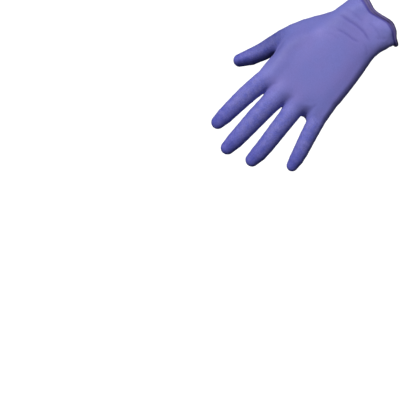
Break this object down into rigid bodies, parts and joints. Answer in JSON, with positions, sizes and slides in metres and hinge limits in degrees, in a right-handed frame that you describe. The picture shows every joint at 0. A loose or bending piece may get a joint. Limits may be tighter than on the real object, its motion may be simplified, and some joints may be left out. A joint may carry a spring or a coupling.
{
  "type": "nitrile exam glove",
  "caption": "Thin dipped exam glove in its worn form, fingers spread, hollow from fingertips to an open cuff that ends in a rolled bead.",
  "frame": {"origin": "centre of the cuff's mouth, where the wearer's wrist goes in", "axes": "+Y along the glove towards the tip of the middle finger, +X towards the thumb, +Z out of the glove's back"},
  "size_m": [0.1463, 0.2429, 0.0565],
  "materials": {
    "nitrile": "satin violet-blue nitrile with finely textured fingers"
  },
  "bodies": {
    "root": {"glove_membrane": "nitrile"}
  },
  "joints": []
}
